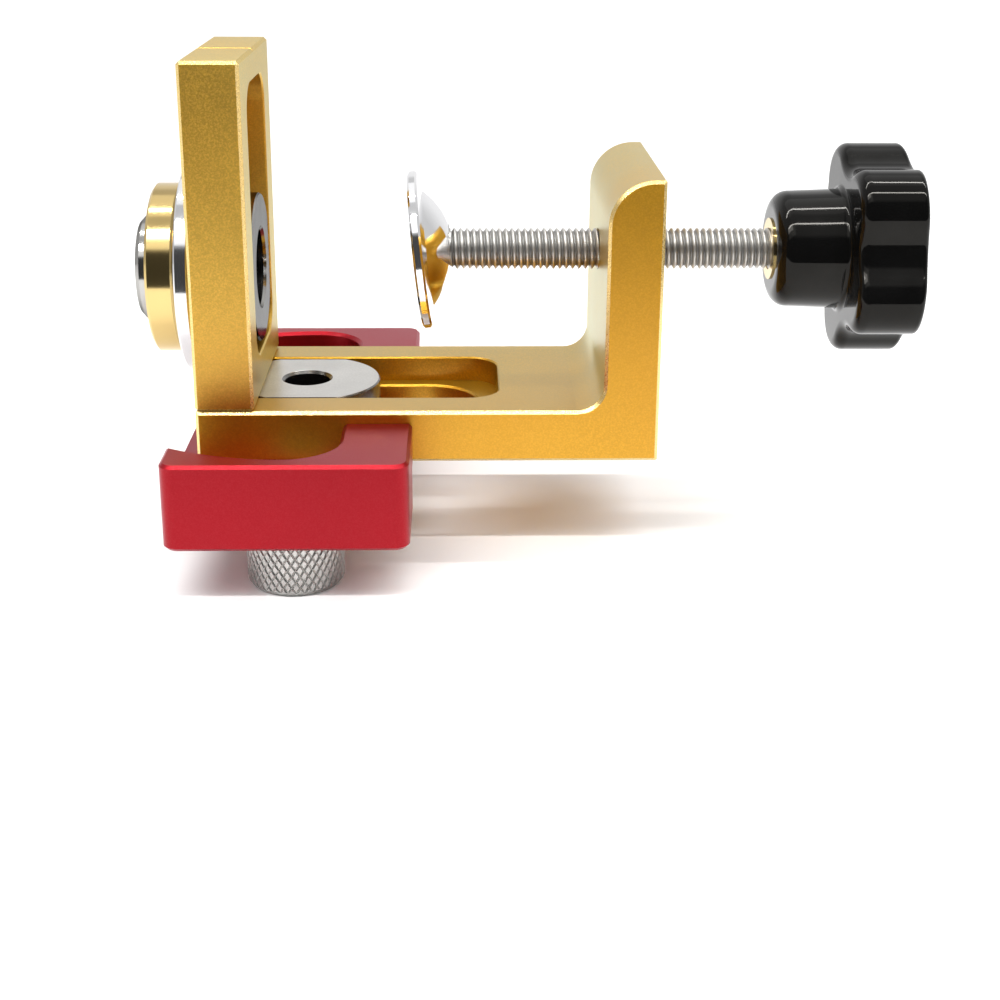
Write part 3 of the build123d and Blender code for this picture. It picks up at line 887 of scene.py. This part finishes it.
class JIG_OT_studio(bpy.types.Operator):
    """Set the floor, the lamps, the world and the camera"""

    bl_idname = "jig.studio"
    bl_label = "Studio"

    def execute(self, context):
        studio = context.scene.jig_studio
        low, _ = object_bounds()
        self.floor(studio, low[2])
        self.world(context.scene, studio)
        middle = Vector((0.03, 0.0, 0.02))
        place = middle + Vector((0.0, 0.25, 0.9))
        self.lamp("overhead", studio.overhead, (0.9, 0.7), place, middle)
        place = middle + Vector((-0.36, -0.6, 0.68))
        self.lamp("front", studio.front, (0.8, 0.4), place, middle)
        # Two strips make the lines of light along the knob, and one box those on the ring nut.
        knob = Vector((0.1, 0.0, CLAMP_AXIS))
        distance = 0.55
        for name, rise in (("strip_high", studio.strip_high), ("strip_low", studio.strip_low)):
            place = knob + distance * Vector((0.0, -math.cos(rise), math.sin(rise)))
            self.lamp(name, studio.strips, (1.1, 0.024), place, knob)
        nut = Vector((-0.03, 0.0, CLAMP_AXIS))
        left, distance = 0.2, 0.5
        rise = studio.strip_low - math.radians(6.0)
        place = nut + Vector((-left, -distance * math.cos(rise), distance * math.sin(rise)))
        self.lamp("side_box", studio.side_box, (0.34, 0.1), place, nut)
        self.camera(context.scene, studio)
        context.scene.view_settings.view_transform = "Standard"
        return {"FINISHED"}

    def floor(self, studio, height):
        """White paper that ends in front of the jig and gives off light far behind and beside."""
        clear_selection()
        bpy.ops.mesh.primitive_plane_add(size=1.0)
        piece = bpy.context.object
        piece.name = "floor"
        width, depth = 6.0, studio.paper_far - studio.paper_near
        bpy.ops.transform.resize(value=(width, depth, 1.0), center_override=(0.0, 0.0, 0.0))
        bpy.ops.transform.translate(value=(0.0, studio.paper_near + depth / 2, height))
        bpy.ops.object.transform_apply(location=True, rotation=True, scale=True)
        finish = Finish("floor_paper", {
            "Base Color": studio.floor_colour, "Roughness": 0.9, "Specular IOR Level": 0.1,
            "Emission Strength": 1.0})
        x, y, _ = finish.parts(finish.coordinates())
        # The lift begins farther out at the sides than behind.
        farther = 0.15
        away = finish.ramp(finish.math("MAXIMUM", y, abs(x) - farther), 0.2, 1.2)
        white = (1.0, 1.0, 1.0)
        near, far = shade(white, studio.lift_near), shade(white, studio.lift_far)
        finish.feed(Emission_Color=finish.blend(away, near, far))
        piece.data.materials.append(finish.material)
        piece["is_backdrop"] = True

    def world(self, scene, studio):
        """A light room, dark low down in front of the jig, and bright low down behind it.

        The camera sees it white.
        """
        world = bpy.data.worlds.new("studio_room")
        world.use_nodes = True
        scene.world = world
        room = Graph(world.node_tree)
        _, y, z = room.parts(room.node("ShaderNodeTexCoord", {}, {}, "Generated"))
        ahead = room.ramp(y, -0.1, -0.45)
        behind = room.ramp(y, 0.3, 0.8)
        fade, darkness = 0.06, 0.9
        low = room.ramp(z, studio.dark_to + fade, studio.dark_to - fade)
        level = studio.room * (1.0 - ahead * low * darkness + behind * low * studio.backdrop)
        seen = room.node("ShaderNodeLightPath", {}, {}, "Is Camera Ray")
        strength = seen + (1.0 - seen) * level
        white = (1.0, 1.0, 1.0)
        light = room.node("ShaderNodeBackground", {}, {"Color": white, "Strength": strength})
        room.node("ShaderNodeOutputWorld", {}, {"Surface": light}, None)

    def lamp(self, name, power, size, place, target):
        """A softbox at a place, turned to face its target."""
        data = bpy.data.lights.new(name, "AREA")
        data.shape = "RECTANGLE"
        data.size, data.size_y = size
        data.energy = power
        lamp = bpy.data.objects.new(name, data)
        bpy.context.scene.collection.objects.link(lamp)
        back = (place - target).normalized()
        side = Vector((1.0, 0.0, 0.0))
        up = back.cross(side).normalized()
        side = up.cross(back)
        turn = Matrix((side, up, back)).transposed().to_4x4()
        lamp.matrix_world = Matrix.Translation(place) @ turn

    def camera(self, scene, studio):
        """The camera of the rest view, from its pitch, yaw and roll."""
        data = bpy.data.cameras.new("camera")
        data.lens = studio.lens
        data.sensor_width = 36.0
        data.shift_y = studio.shift
        data.clip_start = 0.01
        camera = bpy.data.objects.new("camera", data)
        scene.collection.objects.link(camera)
        yaw, pitch, roll = studio.yaw, studio.pitch, studio.roll
        flat = math.cos(pitch)
        ahead = Vector((math.sin(yaw) * flat, math.cos(yaw) * flat, -math.sin(pitch)))
        level = Vector((math.cos(yaw), -math.sin(yaw), 0.0))
        upright = level.cross(ahead)
        right = math.cos(roll) * level + math.sin(roll) * upright
        up = -math.sin(roll) * level + math.cos(roll) * upright
        turn = Matrix((right, up, -ahead)).transposed().to_4x4()
        camera.matrix_world = Matrix.Translation(Vector(studio.camera_place)) @ turn
        scene.camera = camera


class JIG_PT_sidebar(bpy.types.Panel):
    """The jig's pieces and settings, in the 3D view's sidebar"""

    bl_idname = "JIG_PT_sidebar"
    bl_label = "Doweling Jig"
    bl_space_type = "VIEW_3D"
    bl_region_type = "UI"
    bl_category = "Jig"

    def draw(self, context):
        for operator in OPERATORS:
            self.layout.operator(operator.bl_idname)
        for group in (getattr(context.scene, name) for name, _ in SETTINGS):
            box = self.layout.box()
            for name in group.__annotations__:
                box.prop(group, name)


SETTINGS = (
    ("jig_studio", JigStudioSettings),
    ("jig_finish", JigFinishSettings),
    ("jig_scale", JigScaleSettings),
    ("jig_thread", JigThreadSettings),
    ("jig_knurl", JigKnurlSettings),
)
OPERATORS = (
    JIG_OT_anodised_parts,
    JIG_OT_arm_scale,
    JIG_OT_guide_bushes,
    JIG_OT_ring_nuts,
    JIG_OT_side_bushes,
    JIG_OT_clamp_screw,
    JIG_OT_swivel_foot,
    JIG_OT_knob,
    JIG_OT_studio,
)


def register():
    for name, group in SETTINGS:
        bpy.utils.register_class(group)
        setattr(bpy.types.Scene, name, bpy.props.PointerProperty(type=group))
    for operator in OPERATORS:
        bpy.utils.register_class(operator)
    bpy.utils.register_class(JIG_PT_sidebar)


def unregister():
    bpy.utils.unregister_class(JIG_PT_sidebar)
    for operator in reversed(OPERATORS):
        bpy.utils.unregister_class(operator)
    for name, group in reversed(SETTINGS):
        delattr(bpy.types.Scene, name)
        bpy.utils.unregister_class(group)


def main():
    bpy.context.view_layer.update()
    register()
    for operator in OPERATORS:
        group, name = operator.bl_idname.split(".")
        getattr(getattr(bpy.ops, group), name)()


if __name__ == "__main__":
    main()
